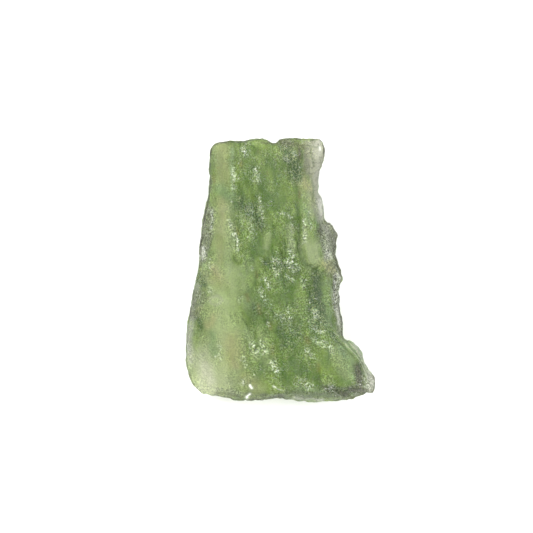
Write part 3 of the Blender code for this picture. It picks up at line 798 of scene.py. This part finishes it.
def glass_look(tree):
    """The places, masks and noise that the colours of the glass are worked out from."""
    place = tree.add("ShaderNodeTexCoord", output="Object")
    x, y, z = (tree.add("ShaderNodeSeparateXYZ", None, {0: place}, output=k) for k in range(3))
    across = across_fan(x, y, MM)
    flow = tree.add("ShaderNodeCombineXYZ", None, {0: across, 1: y, 2: z})
    bend = tree.add(
        "ShaderNodeTexNoise",
        None,
        {"Vector": tree.in_units(place, BEND_SIZE), "Scale": 1.0, "Detail": 1.0},
        output="Color",
    )
    look = SimpleNamespace(place=place, flow=flow)
    look.bent = tree.add(
        "ShaderNodeVectorMath",
        {"operation": "MULTIPLY_ADD"},
        {0: bend, 1: (BEND_REACH * MM,) * 3, 2: flow},
    )
    for name in MASKS:
        setattr(look, name, tree.mask(name))
    look.streaks = tree.grain(flow, STREAK_SIZE, 3.0, 0.6)
    look.mottle = tree.grain(flow, MOTTLE_SIZE, 2.0, 0.5)
    look.fine = tree.grain(flow, FINE_SIZE, 1.0, 0.6)
    look.scatter = tree.grain(place, SCATTER_SIZE, 1.0, 0.5)
    restless = tree.grain(flow, RESTLESS_SIZE, 2.0, 0.5, 6.6).rise(0.40, 0.60)
    look.busy = (restless * 0.8 + look.flecks + look.deep * 0.5) * (1.0 - look.calm * 0.95)
    return look


def colour_flows(tree, look):
    """Green with soft flows of other colours, and rust and brown stains."""
    mottle = look.mottle
    green = tree.blend(look.streaks.rise(0.34, 0.66), MID_GREEN, SOFT_GREEN)
    haze = look.washed * 0.75 + look.flecks * 0.15 + look.busy * mottle.rise(0.46, 0.62) * 0.25
    rust = look.rust * 0.6 + look.scatter.rise(0.64, 0.76) * mottle.rise(0.45, 0.65) * 0.3
    return tree.layers(green, [
        (look.light * 0.9, LIGHT_GREEN),
        (look.tan * 0.9, TAN_GREEN),
        (look.rough * (0.6 + 0.6 * mottle) * (1.0 - look.tan * 0.8), ROUGH_GREY),
        (look.pale, PALE_GREEN),
        ((look.deep * (0.3 + mottle)).rise(0.0, 0.9), DEEP_GREEN),
        (look.clear * 0.9, RIM_GREY),
        (haze, WASHED_GREEN),
        (look.grey * (0.25 + 1.1 * mottle), GREY_LILAC),
        (rust * (0.2 + look.fine), RUST_TINT),
        (look.brown * (0.4 + 0.9 * look.fine), BROWN_GREEN),
    ])


def fine_lines(tree, look, green):
    """Cracks in the clear and rough places, and dark scores and pale threads in busy ones."""
    cracks = (tree.grain(look.place, CRACK_SIZE, 2.0, 0.5, 5.0) * 3.5).contours(0.16)
    threads = (tree.grain(look.flow, THREAD_SIZE, 1.0, 0.5, 12.7) * 5.0).contours(0.14)
    scores = (tree.grain(look.flow, SCORE_SIZE, 1.0, 0.5, 17.9) * 4.0).contours(0.12)
    return tree.layers(green, [
        # the cracks are real dark lines, in the colour of the painted shade along the outline
        (cracks * (look.clear * 0.6 + look.rough * 0.5), RIM_SHADE_AND_CRACK_BROWN),
        # the scores are real dark lines, in the colour of the painted shade in the creases
        (scores * look.busy * look.mottle.rise(0.4, 0.6) * 0.7, CREASE_SHADE_AND_SCORE_GREEN),
        (threads * look.busy * look.mottle.rise(0.5, 0.7) * 0.6, DUST_YELLOW),
    ])


def grainy(tree, look, green, hollows, shade):
    """The colour with its light and dark grain, painted shade in its hollows, and its grit."""
    calm, busy, rough = look.calm, look.busy, look.rough
    contrast = 1.2 - calm * 0.8 + busy * 3.8 + rough * 3.6
    # Darker in the hollow dots: painted shade
    tone = 0.84 + (look.fine - 0.5) * contrast - hollows * (0.1 + 0.3 * shade)
    tone = tree.math("MAXIMUM", tone, 0.50 - rough * 0.3)
    green = tree.add("ShaderNodeVectorMath", {"operation": "SCALE"}, {0: green, "Scale": tone})
    grit = tree.grain(look.flow, GRIT_SIZE, 0.0, 0.5, 7.1).rise(0.56, 0.70)
    grit = grit * (0.12 - calm * 0.10 + busy * (0.42 - rough * 0.25 - look.brown * 0.2))
    return tree.blend(grit, green, DUST_YELLOW)


def glints_and_chips(tree, look, glint_dots, shine):
    """Painted glints in white: dots and thin curls, with the white chipped spots, some of which
    are painted glints as well.
    """
    curls = 1.0 - tree.cell_borders(look.bent, CURL_SIZE).rise(0.03, 0.14)
    curls = curls * look.fine.rise(0.47, 0.60) * (look.flecks * 0.8 + look.busy * 0.14)
    white = tree.math("MAXIMUM", glint_dots * (0.35 + 0.55 * shine), curls)
    return tree.math("MAXIMUM", white, look.chips)


def moldavite_glass():
    """Corroded green natural glass: clear inside, satin outside, with flows of colour."""
    material = bpy.data.materials.new("moldavite glass")
    material.use_nodes = True
    material.node_tree.nodes.clear()
    tree = Wire(material.node_tree)
    look = glass_look(tree)
    mottle = look.mottle
    # Hollow dots, for the bumps and for painted shade in the hollows
    hollow_crowd = look.busy * 0.3 + look.rough * 0.8
    hollows, shade = tree.dots(look.bent, HOLLOW_SIZE, hollow_crowd, 0.6, 3.3)
    # Painted glints: white dots, most in the fleck zones
    glint_crowd = look.flecks * 0.45 + look.rough * 0.12 + look.busy * 0.10
    glint_dots, shine = tree.dots(look.bent, GLINT_DOT_SIZE, glint_crowd, 0.54)
    white = glints_and_chips(tree, look, glint_dots, shine)
    # Painted shade: a thin dark line just inside the outline
    rim = (look.edge + mottle * 0.3).rise(0.82, 0.94) * look.rim
    green = fine_lines(tree, look, colour_flows(tree, look))
    green = tree.layers(grainy(tree, look, green, hollows, shade), [
        # painted shade in and beside the creases
        (look.crease.rise(0.2, 0.9) * 0.35, DEEP_GREEN),
        (look.crease.rise(0.78, 0.97) * (0.1 + mottle), CREASE_SHADE_AND_SCORE_GREEN),
        (look.ledge.rise(0.62, 0.90) * 0.5, PALE_GREEN),
        # painted shade along the outline
        (rim, RIM_SHADE_AND_CRACK_BROWN),
        # painted glints, and white chipped spots
        (white, GLINT_AND_CHIP_WHITE),
        (look.under * 0.85, UNDER_GREEN),
    ])
    height = glint_dots * 0.6 + look.fine * 1.4 + mottle * 1.2 - hollows * 0.6
    bumps = tree.add(
        "ShaderNodeBump",
        None,
        {"Strength": BUMP_STRENGTH, "Distance": BUMP_HEIGHT * MM, "Height": height},
    )
    shader = tree.add(
        "ShaderNodeBsdfPrincipled",
        None,
        {
            "Base Color": green,
            "Roughness": 0.32 + 0.24 * mottle + white * 0.4 - look.clear * 0.12 + rim * 0.3,
            # the painted glints and chipped spots turn metallic, to mirror the lamps
            "Metallic": white * 0.8,
            "Normal": bumps,
            "IOR": GLASS_IOR,
            "Transmission Weight": GLASS_TRANSMISSION,
        },
    )
    inside = tree.add(
        "ShaderNodeVolumeAbsorption",
        None,
        {"Color": CLEAR_COLOUR, "Density": ABSORPTION},
    )
    tree.add("ShaderNodeOutputMaterial", None, {"Surface": shader, "Volume": inside})
    return material


# The floor, in metres, and the white light all round
FLOOR_HALF = 2.0
FLOOR_DROP = 0.00002
FLOOR_WHITE = 0.96
FLOOR_ROUGHNESS = 0.8
WORLD_LIGHT = 0.62

# Lamps: (name, place in metres, size in metres, watts)
LAMPS = [
    ("window", (-0.22, 0.16, 0.24), 0.16, 0.95),
    ("right side", (0.26, 0.06, 0.20), 0.18, 0.8),
    ("near side", (-0.04, -0.28, 0.20), 0.18, 0.8),
    ("glint", (0.05, 0.20, 0.26), 0.04, 0.3),
]

# The camera, in millimetres, over the middle of the photo's frame, with its clip in metres
PHOTO_PIXELS = 533
PHOTO_MM_PER_PIXEL = 0.1
VIEW_MIDDLE = (-1.44, 0.35)
RIM_HEIGHT = 1.2
CAMERA_HEIGHT = 300.0
SENSOR = 36.0
NEAR_CLIP = 0.01
FAR_CLIP = 10.0


def lay_floor():
    mesh = bpy.data.meshes.new("floor")
    work = bmesh.new()
    bmesh.ops.create_grid(work, x_segments=1, y_segments=1, size=FLOOR_HALF)
    work.to_mesh(mesh)
    work.free()
    floor = bpy.data.objects.new("floor", mesh)
    floor.location.z = -FLOOR_DROP
    bpy.context.scene.collection.objects.link(floor)
    material = bpy.data.materials.new("white board")
    material.use_nodes = True
    shader = material.node_tree.nodes["Principled BSDF"]
    shader.inputs["Base Color"].default_value = (FLOOR_WHITE, FLOOR_WHITE, FLOOR_WHITE, 1.0)
    shader.inputs["Roughness"].default_value = FLOOR_ROUGHNESS
    mesh.materials.append(material)


def soft_lamp(name, place, size, watts):
    """A square lamp at a place in metres, turned to the stone."""
    lamp = bpy.data.lights.new(name, "AREA")
    lamp.size = size
    lamp.energy = watts
    holder = bpy.data.objects.new(name, lamp)
    holder.location = place
    holder.rotation_mode = "QUATERNION"
    holder.rotation_quaternion = (-Vector(place)).to_track_quat("-Z", "Y")
    bpy.context.scene.collection.objects.link(holder)


def light_studio():
    """White tent with large soft lamps all round, low enough to keep their glare off the face."""
    world = bpy.data.worlds.new("studio")
    world.use_nodes = True
    backdrop = world.node_tree.nodes["Background"]
    backdrop.inputs["Color"].default_value = (1.0, 1.0, 1.0, 1.0)
    backdrop.inputs["Strength"].default_value = WORLD_LIGHT
    bpy.context.scene.world = world
    for lamp in LAMPS:
        soft_lamp(*lamp)
    bpy.context.scene.view_settings.view_transform = "Standard"


def set_camera():
    """Looks straight down, with the photo's frame at the height of the stone's rim."""
    camera = bpy.data.cameras.new("camera")
    camera.sensor_width = SENSOR
    frame_width = PHOTO_PIXELS * PHOTO_MM_PER_PIXEL
    camera.lens = SENSOR * (CAMERA_HEIGHT - RIM_HEIGHT) / frame_width
    camera.clip_start = NEAR_CLIP
    camera.clip_end = FAR_CLIP
    holder = bpy.data.objects.new("camera", camera)
    holder.location = (VIEW_MIDDLE[0] * MM, VIEW_MIDDLE[1] * MM, CAMERA_HEIGHT * MM)
    bpy.context.scene.collection.objects.link(holder)
    bpy.context.scene.camera = holder


stone = dress_stone(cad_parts["moldavite"])
stone.data.materials.clear()
stone.data.materials.append(moldavite_glass())
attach(stone, "root")
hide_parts("moldavite")
lay_floor()
light_studio()
set_camera()
